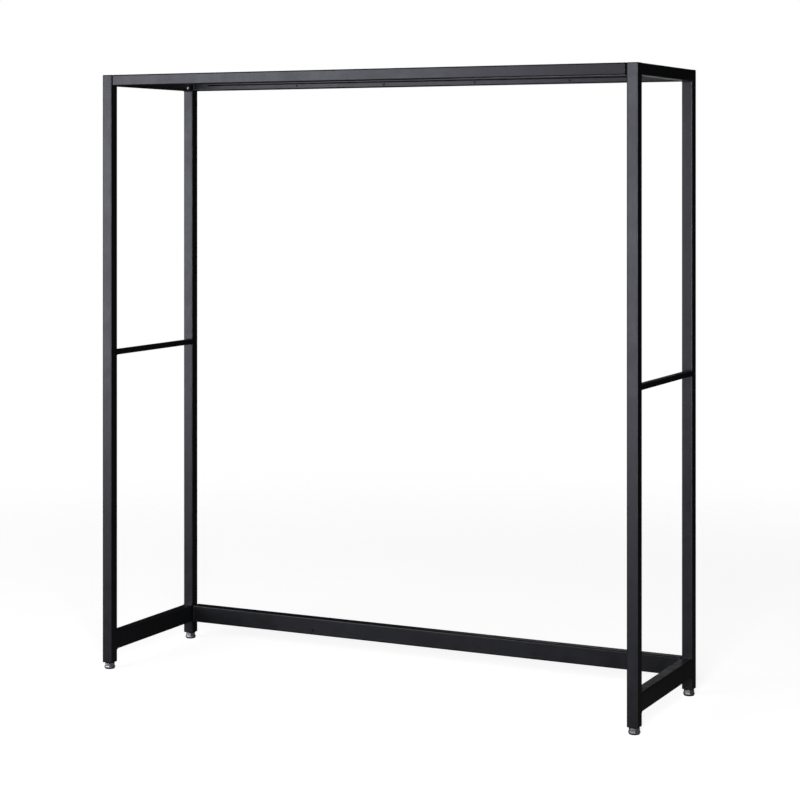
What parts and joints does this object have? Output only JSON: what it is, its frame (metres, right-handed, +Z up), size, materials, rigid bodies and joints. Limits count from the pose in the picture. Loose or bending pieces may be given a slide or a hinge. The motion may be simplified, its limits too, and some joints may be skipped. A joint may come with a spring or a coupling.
{
  "type": "gondola shelving frame",
  "caption": "Free-standing open steel display bay: square-tube end frames joined by top rails and a rear base rail, slotted rear top rail, levelling feet.",
  "frame": {"origin": "centre of the footprint, on the floor under the feet", "axes": "+X to the right seen from the open front, +Y to the rear, +Z up"},
  "size_m": [1.3, 0.375, 1.365],
  "materials": {
    "powder_coat": "fine-textured semi-matt black powder coat",
    "spigot_steel": "black e-coated steel",
    "black_plastic": "moulded black plastic",
    "chrome_plate": "bright plated",
    "zinc_steel": "zinc plated",
    "bright_screw": "bright zinc",
    "dark_steel": "black oxide",
    "sole_pad": "matt black"
  },
  "bodies": {
    "frame": {"left_front_post": "powder_coat", "right_front_post": "powder_coat", "left_rear_post": "powder_coat", "right_rear_post": "powder_coat", "front_top_rail": "powder_coat", "rear_top_rail": "powder_coat", "rear_base_rail": "powder_coat", "left_top_side_rail": "powder_coat", "right_top_side_rail": "powder_coat", "left_base_side_rail": "powder_coat", "right_base_side_rail": "powder_coat", "left_mid_bar": "powder_coat", "right_mid_bar": "powder_coat", "left_front_post_cap": "black_plastic", "right_front_post_cap": "black_plastic", "left_rear_post_cap": "black_plastic", "right_rear_post_cap": "black_plastic", "front_rail_left_spigot": "spigot_steel", "front_rail_right_spigot": "spigot_steel", "rear_top_rail_left_spigot": "spigot_steel", "rear_top_rail_right_spigot": "spigot_steel", "rear_base_rail_left_spigot": "spigot_steel", "rear_base_rail_right_spigot": "spigot_steel", "left_side_rail_front_spigot": "spigot_steel", "left_side_rail_rear_spigot": "spigot_steel", "right_side_rail_front_spigot": "spigot_steel", "right_side_rail_rear_spigot": "spigot_steel", "cross_rail_grub_screws": "dark_steel", "side_rail_screws": "bright_screw", "left_front_foot_insert": "black_plastic", "right_front_foot_insert": "black_plastic", "left_rear_foot_insert": "black_plastic", "right_rear_foot_insert": "black_plastic", "foot_insert_nuts": "zinc_steel"},
    "left_front_pad": {"left_front_foot_pad": "sole_pad"},
    "left_front_screw": {"left_front_foot_body": "chrome_plate", "left_front_foot_stud": "zinc_steel"},
    "right_front_pad": {"right_front_foot_pad": "sole_pad"},
    "right_front_screw": {"right_front_foot_body": "chrome_plate", "right_front_foot_stud": "zinc_steel"},
    "left_rear_pad": {"left_rear_foot_pad": "sole_pad"},
    "left_rear_screw": {"left_rear_foot_body": "chrome_plate", "left_rear_foot_stud": "zinc_steel"},
    "right_rear_pad": {"right_rear_foot_pad": "sole_pad"},
    "right_rear_screw": {"right_rear_foot_body": "chrome_plate", "right_rear_foot_stud": "zinc_steel"}
  },
  "joints": [
    {"name": "left_front_foot_lift", "type": "slide", "parent": "frame", "child": "left_front_pad", "axis": [0, 0, -1], "range_m": [-0.0009, 0.0151]},
    {"name": "left_front_foot_turn", "type": "hinge", "parent": "left_front_pad", "child": "left_front_screw", "pos_m": [-0.6375, -0.175, 0], "axis": [0, 0, -1], "range_deg": [-240, 4320]},
    {"name": "right_front_foot_lift", "type": "slide", "parent": "frame", "child": "right_front_pad", "axis": [0, 0, -1], "range_m": [-0.0009, 0.0151]},
    {"name": "right_front_foot_turn", "type": "hinge", "parent": "right_front_pad", "child": "right_front_screw", "pos_m": [0.6375, -0.175, 0], "axis": [0, 0, -1], "range_deg": [-240, 4320]},
    {"name": "left_rear_foot_lift", "type": "slide", "parent": "frame", "child": "left_rear_pad", "axis": [0, 0, -1], "range_m": [-0.0009, 0.0151]},
    {"name": "left_rear_foot_turn", "type": "hinge", "parent": "left_rear_pad", "child": "left_rear_screw", "pos_m": [-0.6375, 0.175, 0], "axis": [0, 0, -1], "range_deg": [-240, 4320]},
    {"name": "right_rear_foot_lift", "type": "slide", "parent": "frame", "child": "right_rear_pad", "axis": [0, 0, -1], "range_m": [-0.0009, 0.0151]},
    {"name": "right_rear_foot_turn", "type": "hinge", "parent": "right_rear_pad", "child": "right_rear_screw", "pos_m": [0.6375, 0.175, 0], "axis": [0, 0, -1], "range_deg": [-240, 4320]}
  ],
  "couplings": [
    {"joint": "left_front_foot_lift", "follows": "left_front_foot_turn", "m_per_rad": 0.00019894},
    {"joint": "right_front_foot_lift", "follows": "right_front_foot_turn", "m_per_rad": 0.00019894},
    {"joint": "left_rear_foot_lift", "follows": "left_rear_foot_turn", "m_per_rad": 0.00019894},
    {"joint": "right_rear_foot_lift", "follows": "right_rear_foot_turn", "m_per_rad": 0.00019894}
  ]
}
